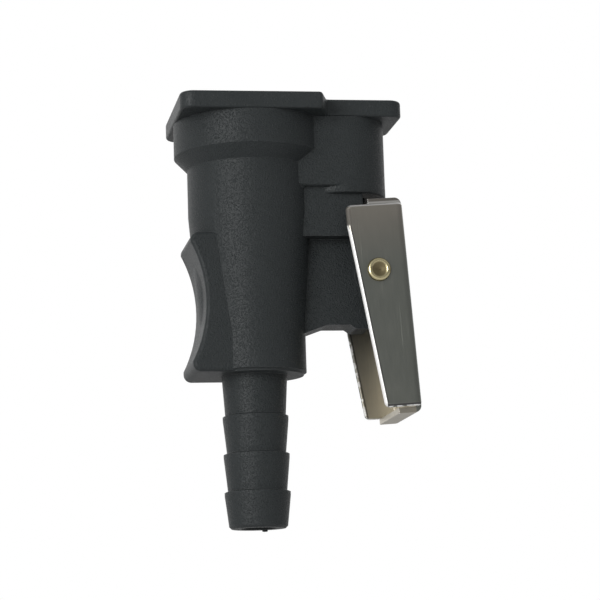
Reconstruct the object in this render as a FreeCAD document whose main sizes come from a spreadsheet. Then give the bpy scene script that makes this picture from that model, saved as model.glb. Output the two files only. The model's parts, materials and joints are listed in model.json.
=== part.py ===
import FreeCAD, Part
import math
import os
import Sketcher

# Quick connector for a fuel line, the half that sits on the hose.
#
# A moulded body carries a barbed hose tail below, a round barrel with a scooped
# thumb grip, and a side boss with a second, blind bore that guides the other
# half. A welded face plate closes the body and holds the valve and its seals in.
# A channel of folded stainless sheet, the latch lever, turns on a rivet in the
# body's rib. A spring pushes its lower end out, so that its top tab stands
# across the guide bore and catches the notch of the other half's guide pin.
#
# Frame: the origin is where the fuel axis meets the mating face. +Z leaves the
# fuel socket along its axis, +X points from the fuel axis to the guide bore.
# Below the face every place is written as a depth, so its z is minus that depth.

doc = FreeCAD.newDocument("fuel_connector")
sheet = doc.addObject("Spreadsheet::Sheet", "sizes")

# Driving sizes in millimetres, angles in degrees.
driving_sizes = {
    # face plate
    "plate_thickness": 3.1,
    "plate_overhang": 0.15,
    "plate_step": 11.6,
    "plate_slant": 1.8,
    "plate_end_reach": 10.2,
    "plate_narrow_half": 8.0,
    "plate_corner": 2.4,
    "plate_step_corner": 0.8,
    "plate_edge_round": 0.5,
    # barrel and collar
    "collar_radius": 13.4,
    "collar_depth": 9.1,
    "cone_depth": 11.5,
    "barrel_radius": 11.1,
    "barrel_foot_radius": 9.35,
    "taper_top_depth": 20.0,
    "foot_band": 7.0,
    "base_depth": 49.0,
    "base_round": 0.5,
    # hose tail
    "tail_length": 27.0,
    "tail_end_step": 0.65,
    "tail_end_chamfer": 0.4,
    "crest_radius": 5.85,
    "barb_height": 0.6,
    "crest_land": 0.6,
    "crest_shoulder": 0.25,
    "first_crest": 6.4,
    "barb_pitch": 6.7,
    "neck_step": 0.45,
    "tail_bore_radius": 3.1,
    "barb_count": 3,
    # thumb grip
    "grip_half_depth": 8.0,
    "grip_reach": 11.8,
    "grip_height": 24.8,
    "scoop_top_margin": 1.6,
    "scoop_foot_margin": 1.9,
    "scoop_radius": 23.4,
    "grip_corner": 1.4,
    "grip_edge_round": 0.7,
    # guide boss and the block under it
    "guide_offset": 17.0,
    "guide_radius": 4.2,
    "guide_floor": 1.4,
    "well_step": 0.3,
    "boss_radius": 7.9,
    "boss_depth": 15.8,
    "boss_edge_round": 0.6,
    "flange_gap": 2.4,
    "block_corner": 1.2,
    "window_reach": 2.5,
    "hook_room": 1.43,
    "nose_height": 2.2,
    "nose_foot": 1.7,
    "nose_slope": 3.6,
    "stop_gap": 0.3,
    # rib and pivot
    "rib_half_width": 3.4,
    "rib_setback": 0.8,
    "rib_drop": 8.8,
    "rib_root_drop": 1.5,
    "rib_root_back": 12.6,
    "rib_arch_back": 8.4,
    "rib_heel_back": 4.2,
    "rib_heel_run": 1.0,
    "rib_heel_drop": 0.7,
    "pivot_reach": 4.3,
    "knuckle_gap": 1.4,
    "side_play": 0.15,
    # latch lever, measured from the pin's axis in the lever's own frame
    "lever_lean": 3.47,
    "sheet_thickness": 1.0,
    "lever_half_width": 10.0,
    "web_offset": 5.5,
    "lever_top": 12.0,
    "lever_bottom": 24.5,
    "flange_reach": 4.8,
    "flange_foot_reach": 1.1,
    "flange_kink": 8.1,
    "flange_corner": 1.0,
    "edge_roll": 0.6,
    "edge_break": 0.25,
    "fold_radius": 0.2,
    "hook_rise": 1.1,
    "hook_gap": 2.55,
    "hook_reach": 0.5,
    "hook_inset": 0.5,
    "flap_drop": 1.1,
    "flap_start": 1.4,
    "flap_inset": 0.4,
    # rivet
    "pin_radius": 1.5,
    "pin_play": 0.05,
    "pin_head_radius": 2.1,
    "pin_head_height": 0.7,
    "pin_rim_round": 0.55,
    "pin_dish_radius": 1.35,
    "pin_dish_depth": 0.3,
    # lever spring
    "lever_spring_drop": 5.1,
    "lever_spring_play": 0.2,
    "lever_spring_back": 6.6,
    "lever_spring_radius": 1.85,
    "lever_spring_wire": 0.25,
    "lever_spring_turns": 7,
    # valve chamber and its pieces
    "chamber_radius": 6.6,
    "chamber_floor": 4.0,
    "gland_radius": 9.0,
    "seat_depth": 19.0,
    "seat_thickness": 3.5,
    "seat_bore_radius": 4.2,
    "seat_chamfer": 0.3,
    "fit_gap": 0.05,
    "port_radius": 6.2,
    "port_seal_section": 1.5,
    "valve_seal_section": 0.8,
    "valve_seal_radius": 4.7,
    "head_play": 1.2,
    "head_thickness": 2.4,
    "nose_radius": 2.6,
    "nose_rise": 6.0,
    "nose_flute_radius": 1.1,
    "stem_radius": 2.4,
    "stem_length": 8.0,
    "stem_chamfer": 0.4,
    "seal_core_height": 1.2,
    "fin_root": 0.4,
    "fin_play": 0.15,
    "fin_width": 1.4,
    "fin_length": 7.0,
    "fin_count": 4,
    "valve_spring_play": 0.4,
    "valve_spring_wire": 0.4,
    "valve_spring_turns": 6,
}


class Size:
    """A length or number: its value, and the text that binds a property to the sheet."""

    def __init__(self, text, value):
        self.text = text
        self.value = value

    def combined(self, other, sign, value, swap=False):
        other_text = other.text if isinstance(other, Size) else repr(float(other))
        left, right = (other_text, self.text) if swap else (self.text, other_text)
        return Size(f"({left} {sign} {right})", value)

    def __add__(self, other):
        return self.combined(other, "+", self.value + number(other))

    def __radd__(self, other):
        return self.combined(other, "+", number(other) + self.value, swap=True)

    def __sub__(self, other):
        return self.combined(other, "-", self.value - number(other))

    def __rsub__(self, other):
        return self.combined(other, "-", number(other) - self.value, swap=True)

    def __mul__(self, other):
        return self.combined(other, "*", self.value * number(other))

    __rmul__ = __mul__

    def __truediv__(self, other):
        return self.combined(other, "/", self.value / number(other))

    def __neg__(self):
        return Size(f"(-1 * {self.text})", -self.value)


def number(size):
    return size.value if isinstance(size, Size) else float(size)


def tangent(angle):
    return Size(f"tan({angle.text})", math.tan(math.radians(angle.value)))


def cosine(angle):
    return Size(f"cos({angle.text})", math.cos(math.radians(angle.value)))


class Sizes:
    """The sheet's aliases, read as attributes."""


s = Sizes()
for row, (alias, millimetres) in enumerate(driving_sizes.items(), start=1):
    sheet.set(f"A{row}", alias.replace("_", " "))
    sheet.set(f"B{row}", str(millimetres))
    sheet.setAlias(f"B{row}", alias)
    setattr(s, alias, Size(f"sizes.{alias}", millimetres))
doc.recompute()

SAME_PLACE = 1e-4
zero = Size("0", 0.0)

# Places that follow from the driving sizes: the barrel and its grip.
tail_end = -(s.base_depth + s.tail_length)
taper_foot_depth = s.base_depth - s.foot_band
grip_top_depth = s.base_depth - s.grip_height
root_radius = s.crest_radius - s.barb_height
neck_radius = s.crest_radius - s.neck_step
tail_end_radius = s.crest_radius - s.tail_end_step

# The plate covers the collar and reaches over the boss.
plate_reach = s.collar_radius + s.plate_overhang
plate_right = s.guide_offset + s.plate_end_reach
tongue_start = s.plate_step + s.plate_slant

# The lever hangs under the boss: its hook passes through the window below it.
pivot_offset = s.guide_offset + s.pivot_reach
hook_top = s.lever_top + s.hook_rise
hook_foot = hook_top - s.sheet_thickness
pivot_depth = s.boss_depth + s.hook_gap + hook_top
window_depth = pivot_depth - hook_foot * cosine(s.lever_lean) + s.hook_room
block_depth = window_depth + s.nose_height + s.nose_foot
guide_depth = block_depth - s.guide_floor
window_offset = s.guide_offset + s.window_reach
lever_inner_half = s.lever_half_width - s.sheet_thickness
block_half_width = lever_inner_half - s.flange_gap
knuckle_radius = s.web_offset - s.sheet_thickness - s.knuckle_gap
rib_reach = pivot_offset - s.rib_setback
rib_depth = pivot_depth + s.rib_drop
flap_bottom = s.lever_bottom + s.flap_drop
lever_spring_depth = pivot_depth + s.lever_spring_drop
lever_spring_floor = pivot_offset - s.lever_spring_back

# The valve runs in the chamber, from its seat down to the chamber's floor.
chamber_depth = s.base_depth - s.chamber_floor
head_top = -(s.seat_depth + 2 * s.valve_seal_section)
head_foot = head_top - s.head_thickness
head_radius = s.chamber_radius - s.head_play
fin_inner_radius = head_radius - s.fin_root
valve_spring_radius = fin_inner_radius - s.valve_spring_play - s.valve_spring_wire


def bind(thing, prop, size):
    """Ties one property to the sheet."""
    thing.setExpression(prop, size.text)


def new_body(name):
    body = doc.addObject("PartDesign::Body", name)
    body.Label = name
    return body


def new_sketch(body, name, role, offset=None):
    """A sketch on one of the body's own origin planes, moved along its normal by offset."""
    plane = [item for item in body.Origin.OriginFeatures if item.Role == role][0]
    sketch = body.newObject("Sketcher::SketchObject", name)
    sketch.AttachmentSupport = [(plane, "")]
    sketch.MapMode = "FlatFace"
    if offset is not None:
        bind(sketch, "AttachmentOffset.Base.z", offset)
    return sketch


def end_at(sketch, index, point):
    """Which end of an edge, 1 or 2, lies at the point."""
    first = sketch.getPoint(index, 1)
    return 1 if (first - point).Length < SAME_PLACE else 2


def fix_point(sketch, index, end, place):
    """Places one point of a sketch by the sheet."""
    axes = (("DistanceX", -2), ("DistanceY", -1))
    for (kind, axis), coordinate in zip(axes, place):
        if coordinate is zero:
            sketch.addConstraint(Sketcher.Constraint("PointOnObject", index, end, axis))
        else:
            row = sketch.addConstraint(Sketcher.Constraint(kind, -1, 1, index, end, coordinate.value))
            bind(sketch, f"Constraints[{row}]", coordinate)


def outline(sketch, corners, arcs=None):
    """A closed outline through the corners.

    Edge number i runs from corner i to the next one. It is straight, or, where arcs
    gives its radius and side, a short arc that bulges to its left (1) or right (-1).
    """
    arcs = arcs or {}
    points = [FreeCAD.Vector(u.value, v.value, 0) for u, v in corners]
    start = sketch.GeometryCount
    count = len(points)
    for i, point in enumerate(points):
        after = points[(i + 1) % count]
        if i in arcs:
            radius, side = arcs[i]
            chord = after - point
            half = chord.Length / 2
            rise = radius.value - math.sqrt(radius.value ** 2 - half ** 2)
            left = FreeCAD.Vector(-chord.y, chord.x, 0).normalize()
            middle = (point + after) * 0.5 + left * (rise * side)
            sketch.addGeometry(Part.Arc(point, middle, after))
        else:
            sketch.addGeometry(Part.LineSegment(point, after))
    for i, point in enumerate(points):
        here = start + i
        before = start + (i - 1) % count
        end = end_at(sketch, here, point)
        sketch.addConstraint(Sketcher.Constraint(
            "Coincident", before, end_at(sketch, before, point), here, end))
        fix_point(sketch, here, end, corners[i])
    for i, (radius, side) in arcs.items():
        row = sketch.addConstraint(Sketcher.Constraint("Radius", start + i, radius.value))
        bind(sketch, f"Constraints[{row}]", radius)


def circle(sketch, centre, radius):
    middle = FreeCAD.Vector(centre[0].value, centre[1].value, 0)
    index = sketch.addGeometry(Part.Circle(middle, FreeCAD.Vector(0, 0, 1), radius.value))
    fix_point(sketch, index, 3, centre)
    row = sketch.addConstraint(Sketcher.Constraint("Radius", index, radius.value))
    bind(sketch, f"Constraints[{row}]", radius)


def box_corners(left, right, low, high):
    return [(left, low), (right, low), (right, high), (left, high)]


def extrude(body, kind, sketch, length, both_sides=False, backwards=False):
    """A Pad or a Pocket of one sketch; a Pocket has to take material away."""
    before = 0.0 if body.Tip is None else solid_volume(body)
    feature = body.newObject(f"PartDesign::{kind}", f"{sketch.Name}_{kind.lower()}")
    feature.Profile = sketch
    bind(feature, "Length", length)
    feature.SideType = "Symmetric" if both_sides else "One side"
    feature.Reversed = backwards
    doc.recompute()
    check_change(body, kind == "Pad", before)
    return feature


def turn(body, kind, sketch):
    """A Revolution or a Groove of one sketch about its own vertical axis."""
    before = 0.0 if body.Tip is None else solid_volume(body)
    feature = body.newObject(f"PartDesign::{kind}", f"{sketch.Name}_{kind.lower()}")
    feature.Profile = sketch
    feature.ReferenceAxis = (sketch, ["V_Axis"])
    feature.Angle = 360
    doc.recompute()
    check_change(body, kind == "Revolution", before)
    return feature


def solid_volume(body):
    return 0.0 if body.Shape.isNull() else body.Shape.Volume


def check_change(body, adds, before):
    """Stops the build if a feature changed nothing."""
    after = solid_volume(body)
    if (after <= before) if adds else (after >= before):
        raise ValueError(f"{body.Tip.Name} left its body as it was")


def round_edges(body, name, radius, wanted):
    """Rounds the edges of the body's last feature that the test picks."""
    base = body.Tip
    names = [f"Edge{i}" for i, edge in enumerate(base.Shape.Edges, start=1) if wanted(edge)]
    if not names:
        raise ValueError(f"{name} found no edge")
    feature = body.newObject("PartDesign::Fillet", name)
    feature.Base = (base, names)
    bind(feature, "Radius", radius)
    doc.recompute()
    return feature


def near(a, b):
    return abs(a - b) < SAME_PLACE


def along(edge, axis):
    """True for a straight edge that runs along x, y or z."""
    if edge.Curve.TypeId != "Part::GeomLine":
        return False
    direction = edge.tangentAt(edge.FirstParameter)
    return near(abs(getattr(direction, axis)), 1.0)


# Face plate: a rounded square over the fuel socket that narrows along two slants
# to a tongue over the guide bore. It is moulded alone and welded on to the collar.
def make_face_plate():
    body = new_body("face_plate")
    plan = new_sketch(body, "plate_plan", "XY_Plane", -s.plate_thickness)
    outline(plan, [
        (-plate_reach, -plate_reach),
        (s.plate_step, -plate_reach),
        (tongue_start, -s.plate_narrow_half),
        (plate_right, -s.plate_narrow_half),
        (plate_right, s.plate_narrow_half),
        (tongue_start, s.plate_narrow_half),
        (s.plate_step, plate_reach),
        (-plate_reach, plate_reach),
    ])
    extrude(body, "Pad", plan, s.plate_thickness)

    for name, radius, x, y in (
        ("plate_left_corners", s.plate_corner, -plate_reach, plate_reach),
        ("plate_step_corners", s.plate_step_corner, s.plate_step, plate_reach),
        ("plate_throat", s.plate_step_corner, tongue_start, s.plate_narrow_half),
        ("plate_right_corners", s.plate_corner, plate_right, s.plate_narrow_half),
    ):
        def corner(edge):
            box = edge.BoundBox
            return along(edge, "z") and near(box.XMin, x.value) and near(abs(box.YMin), y.value)

        round_edges(body, name, radius, corner)

    def rim(edge):
        return near(edge.BoundBox.ZMin, edge.BoundBox.ZMax)

    round_edges(body, "plate_rim", s.plate_edge_round, rim)
    mouths = new_sketch(body, "plate_mouths", "XY_Plane")
    circle(mouths, (zero, zero), s.port_radius)
    circle(mouths, (s.guide_offset, zero), s.guide_radius)
    extrude(body, "Pocket", mouths, s.plate_thickness)
    return body


BASE_ROUND_START = (s.barrel_foot_radius - s.base_round, -s.base_depth)


def barrel_profile():
    """Outer half profile of the barrel and tail, from the tail's end up to the face plate."""
    profile = [
        (zero, tail_end),
        (tail_end_radius - s.tail_end_chamfer, tail_end),
        (tail_end_radius, tail_end + s.tail_end_chamfer),
    ]
    last_barb = int(s.barb_count.value) - 1
    for barb in range(last_barb + 1):
        crest = tail_end + s.first_crest + s.barb_pitch * barb
        foot = root_radius if barb < last_barb else neck_radius
        profile += [
            (s.crest_radius, crest - s.crest_land),
            (s.crest_radius, crest),
            (foot, crest + s.crest_shoulder),
        ]
    return profile + [
        (s.crest_radius, -s.base_depth),
        BASE_ROUND_START,
        (s.barrel_foot_radius, s.base_round - s.base_depth),
        (s.barrel_foot_radius, -taper_foot_depth),
        (s.barrel_radius, -s.taper_top_depth),
        (s.barrel_radius, -s.cone_depth),
        (s.collar_radius, -s.collar_depth),
        (s.collar_radius, -s.plate_thickness),
        (zero, -s.plate_thickness),
    ]


def passage_profile():
    """Half profile of the fuel passage: tail bore, valve chamber and gland."""
    return [
        (zero, tail_end),
        (s.tail_bore_radius, tail_end),
        (s.tail_bore_radius, -chamber_depth),
        (s.chamber_radius, -chamber_depth),
        (s.chamber_radius, -s.seat_depth),
        (s.gland_radius, -s.seat_depth),
        (s.gland_radius, -s.plate_thickness),
        (zero, -s.plate_thickness),
    ]


def web_inner_offset(depth):
    """How far the lever's web stands from the fuel axis, on its inside, at a depth."""
    inner = s.web_offset - s.sheet_thickness
    return pivot_offset + inner / cosine(s.lever_lean) - (pivot_depth - depth) * tangent(s.lever_lean)


# Body: one moulding. The barrel and tail are turned, the grip, the guide block and
# the rib are extruded both ways from the middle plane, and the boss hangs from the face.
# Below the boss the guide bore narrows to a well, which takes the guide pin's tip.
def make_connector_body():
    body = new_body("connector_body")
    grip = new_sketch(body, "grip_outline", "XZ_Plane")
    scoop_top = -(grip_top_depth + s.scoop_top_margin)
    scoop_foot = s.scoop_foot_margin - s.base_depth
    outline(grip, [
        (zero, -grip_top_depth),
        (-s.grip_reach, -grip_top_depth),
        (-s.grip_reach, scoop_top),
        (-s.grip_reach, scoop_foot),
        (-s.grip_reach, -s.base_depth),
        (zero, -s.base_depth),
    ], {2: (s.scoop_radius, 1)})
    extrude(body, "Pad", grip, 2 * s.grip_half_depth, both_sides=True)

    def grip_corner(edge):
        box = edge.BoundBox
        at_end = near(box.ZMin, -grip_top_depth.value) or near(box.ZMin, -s.base_depth.value)
        return along(edge, "y") and near(box.XMin, -s.grip_reach.value) and at_end

    round_edges(body, "grip_corners", s.grip_corner, grip_corner)

    def grip_side(edge):
        box = edge.BoundBox
        return near(box.YMin, box.YMax) and box.XMin < -SAME_PLACE

    round_edges(body, "grip_sides", s.grip_edge_round, grip_side)

    barrel = new_sketch(body, "barrel_profile", "XZ_Plane")
    profile = barrel_profile()
    outline(barrel, profile, {profile.index(BASE_ROUND_START): (s.base_round, 1)})
    turn(body, "Revolution", barrel)

    boss = new_sketch(body, "boss_plan", "XY_Plane", -s.plate_thickness)
    outline(boss, [
        (zero, -s.boss_radius),
        (s.guide_offset, -s.boss_radius),
        (s.guide_offset + s.boss_radius, zero),
        (s.guide_offset, s.boss_radius),
        (zero, s.boss_radius),
    ], {1: (s.boss_radius, -1), 2: (s.boss_radius, -1)})
    extrude(body, "Pad", boss, s.boss_depth - s.plate_thickness, backwards=True)

    def boss_rim(edge):
        box = edge.BoundBox
        level = near(box.ZMin, box.ZMax) and near(box.ZMin, -s.boss_depth.value)
        return level and box.XMax > s.barrel_radius.value

    round_edges(body, "boss_rim_round", s.boss_edge_round, boss_rim)

    block = new_sketch(body, "guide_block_outline", "XZ_Plane")
    nose_reach = web_inner_offset(window_depth) - s.stop_gap
    outline(block, [
        (zero, -s.boss_depth),
        (zero, -block_depth),
        (nose_reach - s.nose_slope, -block_depth),
        (nose_reach, -(window_depth + s.nose_height)),
        (nose_reach, -window_depth),
        (window_offset, -window_depth),
        (window_offset, -s.boss_depth),
    ])
    extrude(body, "Pad", block, 2 * block_half_width, both_sides=True)

    def nose_side(edge):
        box = edge.BoundBox
        at_side = near(abs(box.YMin), block_half_width.value)
        return along(edge, "z") and near(box.XMin, nose_reach.value) and at_side

    round_edges(body, "nose_round", s.block_corner, nose_side)

    rib_root_depth = rib_depth + s.rib_root_drop
    heel_start = pivot_offset - s.rib_heel_back
    heel_depth = rib_depth + s.rib_heel_drop
    rib = new_sketch(body, "rib_outline", "XZ_Plane")
    outline(rib, [
        (zero, -block_depth),
        (zero, -rib_root_depth),
        (pivot_offset - s.rib_root_back, -rib_root_depth),
        (pivot_offset - s.rib_arch_back, -rib_depth),
        (heel_start, -rib_depth),
        (heel_start + s.rib_heel_run, -heel_depth),
        (rib_reach, -heel_depth),
        (rib_reach, -block_depth),
    ])
    extrude(body, "Pad", rib, 2 * s.rib_half_width, both_sides=True)

    knuckle = new_sketch(body, "knuckle_outline", "XZ_Plane")
    circle(knuckle, (pivot_offset, -pivot_depth), knuckle_radius)
    extrude(body, "Pad", knuckle, 2 * (lever_inner_half - s.side_play), both_sides=True)

    passage = new_sketch(body, "passage_profile", "XZ_Plane")
    outline(passage, passage_profile())
    turn(body, "Groove", passage)

    guide = new_sketch(body, "guide_bore", "XY_Plane", -s.plate_thickness)
    circle(guide, (s.guide_offset, zero), s.guide_radius)
    extrude(body, "Pocket", guide, s.boss_depth - s.plate_thickness)
    well = new_sketch(body, "guide_well", "XY_Plane", -s.boss_depth)
    circle(well, (s.guide_offset, zero), s.guide_radius - s.well_step)
    extrude(body, "Pocket", well, guide_depth - s.boss_depth)

    pin_hole = new_sketch(body, "pin_hole", "XZ_Plane")
    circle(pin_hole, (pivot_offset, -pivot_depth), s.pin_radius + s.pin_play)
    extrude(body, "Pocket", pin_hole, 2 * s.lever_half_width, both_sides=True)

    pocket = new_sketch(body, "spring_pocket", "YZ_Plane", lever_spring_floor)
    circle(pocket, (zero, -lever_spring_depth),
           s.lever_spring_radius + s.lever_spring_wire + s.lever_spring_play)
    extrude(body, "Pocket", pocket, pivot_offset + knuckle_radius - lever_spring_floor,
            backwards=True)
    return body


# Latch lever: a channel folded from one sheet. Its outline is extruded and emptied,
# then the web's two ends, folded inwards, are added: the hook above, the flap below.
def make_latch_lever():
    bend = s.fold_radius + s.sheet_thickness
    web_inside = s.web_offset - s.sheet_thickness
    body = new_body("latch_lever")
    side = new_sketch(body, "lever_side", "XZ_Plane")
    outline(side, [
        (s.web_offset, s.lever_top),
        (-s.flange_reach, s.lever_top),
        (-s.flange_reach, s.flange_kink),
        (-s.flange_foot_reach, -s.lever_bottom),
        (s.web_offset, -s.lever_bottom),
    ])
    extrude(body, "Pad", side, 2 * s.lever_half_width, both_sides=True)

    def flange_corner(edge):
        box = edge.BoundBox
        at_end = near(box.ZMin, s.lever_top.value) or near(box.ZMin, -s.lever_bottom.value)
        return along(edge, "y") and at_end and box.XMax < 0

    round_edges(body, "flange_corners", s.flange_corner, flange_corner)

    def fold(edge):
        return along(edge, "z") and near(edge.BoundBox.XMin, s.web_offset.value)

    round_edges(body, "outer_folds", bend, fold)

    def free_edge(edge, half_width):
        """True for the cut edges along one face of both flanges."""
        box = edge.BoundBox
        on_face = near(box.YMin, box.YMax) and near(abs(box.YMin), half_width.value)
        return on_face and box.XMax < (s.web_offset - bend).value - SAME_PLACE

    round_edges(body, "rolled_edges", s.edge_roll, lambda edge: free_edge(edge, s.lever_half_width))

    inside = new_sketch(body, "channel_inside", "XY_Plane", -(s.lever_bottom + s.sheet_thickness))
    open_side = -(s.flange_reach + s.sheet_thickness)
    outline(inside, [
        (open_side, -lever_inner_half),
        (web_inside - s.fold_radius, -lever_inner_half),
        (web_inside, s.fold_radius - lever_inner_half),
        (web_inside, lever_inner_half - s.fold_radius),
        (web_inside - s.fold_radius, lever_inner_half),
        (open_side, lever_inner_half),
    ], {1: (s.fold_radius, -1), 3: (s.fold_radius, -1)})
    extrude(body, "Pocket", inside, s.lever_top + s.lever_bottom + 2 * s.sheet_thickness, backwards=True)
    round_edges(body, "broken_edges", s.edge_break, lambda edge: free_edge(edge, lever_inner_half))

    hook = new_sketch(body, "hook_side", "XZ_Plane")
    outline(hook, [
        (s.web_offset, s.lever_top - bend),
        (s.web_offset, hook_top - bend),
        (s.web_offset - bend, hook_top),
        (-s.hook_reach, hook_top),
        (-s.hook_reach, hook_top - s.sheet_thickness),
        (s.web_offset - bend, hook_top - s.sheet_thickness),
        (web_inside, hook_top - bend),
        (web_inside, s.lever_top - bend),
    ], {1: (bend, -1), 5: (s.fold_radius, 1)})
    extrude(body, "Pad", hook, 2 * (lever_inner_half - s.hook_inset), both_sides=True)

    flap = new_sketch(body, "flap_side", "XZ_Plane")
    outline(flap, [
        (s.web_offset, bend - s.lever_bottom),
        (s.web_offset, bend - flap_bottom),
        (s.web_offset - bend, -flap_bottom),
        (s.flap_start, -flap_bottom),
        (s.flap_start, s.sheet_thickness - flap_bottom),
        (s.web_offset - bend, s.sheet_thickness - flap_bottom),
        (web_inside, bend - flap_bottom),
        (web_inside, bend - s.lever_bottom),
    ], {1: (bend, 1), 5: (s.fold_radius, -1)})
    extrude(body, "Pad", flap, 2 * (lever_inner_half - s.flap_inset), both_sides=True)

    holes = new_sketch(body, "lever_pin_holes", "XZ_Plane")
    circle(holes, (zero, zero), s.pin_radius)
    extrude(body, "Pocket", holes, 2 * s.lever_half_width, both_sides=True)
    hang_on_pivot(body)
    return body


def hang_on_pivot(body):
    """Moves a piece from the pin's frame to its place, leaning as the lever does."""
    body.Placement = FreeCAD.Placement(FreeCAD.Vector(), FreeCAD.Rotation(FreeCAD.Vector(0, 1, 0), 0))
    bind(body, "Placement.Base.x", pivot_offset)
    bind(body, "Placement.Base.z", -pivot_depth)
    bind(body, "Placement.Rotation.Angle", -s.lever_lean)


# Lever pin: a solid brass rivet. Its shank turns in the knuckle and is tight in the
# flanges; the set heads have a round rim and a dished middle. It is turned about z and laid along y.
def make_lever_pin():
    body = new_body("lever_pin")
    half = new_sketch(body, "rivet_profile", "XZ_Plane")
    seat = s.lever_half_width
    crown = s.lever_half_width + s.pin_head_height
    shoulder = seat + s.pin_head_height / 2
    outline(half, [
        (zero, -(crown - s.pin_dish_depth)),
        (s.pin_dish_radius, -crown),
        (s.pin_head_radius, -shoulder),
        (s.pin_head_radius, -seat),
        (s.pin_radius, -seat),
        (s.pin_radius, seat),
        (s.pin_head_radius, seat),
        (s.pin_head_radius, shoulder),
        (s.pin_dish_radius, crown),
        (zero, crown - s.pin_dish_depth),
    ], {1: (s.pin_rim_round, -1), 7: (s.pin_rim_round, -1)})
    turn(body, "Revolution", half)
    body.Placement = FreeCAD.Placement(FreeCAD.Vector(), FreeCAD.Rotation(FreeCAD.Vector(1, 0, 0), 90))
    bind(body, "Placement.Base.x", pivot_offset)
    bind(body, "Placement.Base.z", -pivot_depth)
    return body


def make_coil(name, coil_radius, wire_radius, turns, length):
    """An open helical spring that starts on the xy plane and rises by its length."""
    body = new_body(name)
    wire = new_sketch(body, f"{name}_wire", "XZ_Plane")
    circle(wire, (coil_radius, wire_radius), wire_radius)
    coil = body.newObject("PartDesign::AdditiveHelix", f"{name}_coil")
    coil.Profile = wire
    coil.ReferenceAxis = (wire, ["V_Axis"])
    coil.Mode = "height-turns-angle"
    bind(coil, "Height", length - 2 * wire_radius)
    bind(coil, "Turns", turns)
    doc.recompute()
    return body


def make_lever_spring():
    reach = web_inner_offset(lever_spring_depth) - s.stop_gap
    body = make_coil("lever_spring", s.lever_spring_radius, s.lever_spring_wire,
                     s.lever_spring_turns, reach - lever_spring_floor)
    body.Placement = FreeCAD.Placement(FreeCAD.Vector(), FreeCAD.Rotation(FreeCAD.Vector(0, 1, 0), 90))
    bind(body, "Placement.Base.x", lever_spring_floor)
    bind(body, "Placement.Base.z", -lever_spring_depth)
    return body


def make_valve_spring():
    body = make_coil("valve_spring", valve_spring_radius, s.valve_spring_wire,
                     s.valve_spring_turns, chamber_depth + head_foot)
    bind(body, "Placement.Base.z", -chamber_depth)
    return body


# Valve plunger: its head presses a seal up against the seat. The fluted nose is what
# the other half's prong pushes down; fins keep the head central and let fuel pass.
def make_valve_plunger():
    body = new_body("valve_plunger")
    nose_top = s.nose_rise - s.seat_depth
    seal_core = s.valve_seal_radius - s.valve_seal_section - s.fit_gap
    core_top = head_top + s.seal_core_height
    half = new_sketch(body, "plunger_profile", "XZ_Plane")
    outline(half, [
        (zero, head_foot - s.stem_length),
        (s.stem_radius - s.stem_chamfer, head_foot - s.stem_length),
        (s.stem_radius, head_foot - s.stem_length + s.stem_chamfer),
        (s.stem_radius, head_foot),
        (head_radius, head_foot),
        (head_radius, head_top),
        (seal_core, head_top),
        (seal_core, core_top),
        (s.nose_radius, core_top),
        (s.nose_radius, nose_top),
        (zero, nose_top),
    ])
    turn(body, "Revolution", half)

    fin = new_sketch(body, "fin_outline", "XZ_Plane")
    outline(fin, box_corners(fin_inner_radius, s.chamber_radius - s.fin_play,
                             head_top - s.fin_length, head_top))
    first_fin = extrude(body, "Pad", fin, s.fin_width, both_sides=True)
    fins = body.newObject("PartDesign::PolarPattern", "fins")
    fins.Originals = [first_fin]
    fins.Axis = (half, ["V_Axis"])
    fins.Angle = 360
    bind(fins, "Occurrences", s.fin_count)
    body.Tip = fins
    doc.recompute()

    flute = new_sketch(body, "nose_flute", "XY_Plane", core_top)
    circle(flute, (s.nose_radius, zero), s.nose_flute_radius)
    first_flute = extrude(body, "Pocket", flute, nose_top - core_top, backwards=True)
    flutes = body.newObject("PartDesign::PolarPattern", "flutes")
    flutes.Originals = [first_flute]
    flutes.Axis = (half, ["V_Axis"])
    flutes.Angle = 360
    bind(flutes, "Occurrences", s.fin_count)
    body.Tip = flutes
    doc.recompute()
    return body


def make_ring(name, inner, low, high):
    """A turned ring that fits the gland, with a chamfer on its lower inner edge."""
    outer = s.gland_radius - s.fit_gap
    body = new_body(name)
    half = new_sketch(body, f"{name}_profile", "XZ_Plane")
    outline(half, [
        (inner + s.seat_chamfer, low),
        (outer, low),
        (outer, high),
        (inner, high),
        (inner, low + s.seat_chamfer),
    ])
    turn(body, "Revolution", half)
    return body


def make_valve_seat():
    return make_ring("valve_seat", s.seat_bore_radius,
                     -s.seat_depth, s.seat_thickness - s.seat_depth)


def make_seal_retainer():
    low = s.seat_thickness - s.seat_depth + 2 * s.port_seal_section
    return make_ring("seal_retainer", s.port_radius, low, -s.plate_thickness)


def make_o_ring(name, ring_radius, section, depth):
    ring = doc.addObject("Part::Torus", name)
    ring.Label = name
    bind(ring, "Radius1", ring_radius)
    bind(ring, "Radius2", section)
    bind(ring, "Placement.Base.z", -depth)
    return ring


def make_port_seal():
    depth = s.seat_depth - s.seat_thickness - s.port_seal_section
    return make_o_ring("port_seal", s.gland_radius - s.port_seal_section - s.fit_gap,
                       s.port_seal_section, depth)


def make_valve_seal():
    return make_o_ring("valve_seal", s.valve_seal_radius, s.valve_seal_section,
                       s.seat_depth + s.valve_seal_section)


pieces = [
    make_connector_body(),
    make_face_plate(),
    make_latch_lever(),
    make_lever_pin(),
    make_lever_spring(),
    make_valve_plunger(),
    make_valve_seal(),
    make_valve_spring(),
    make_valve_seat(),
    make_port_seal(),
    make_seal_retainer(),
]
doc.recompute()

failed = [item.Name for item in doc.Objects if "Invalid" in item.State or "Error" in item.State]
failed += [piece.Label for piece in pieces if piece.Shape.isNull() or not piece.Shape.isValid()]
if failed:
    raise ValueError(f"not built: {failed}")

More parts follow.
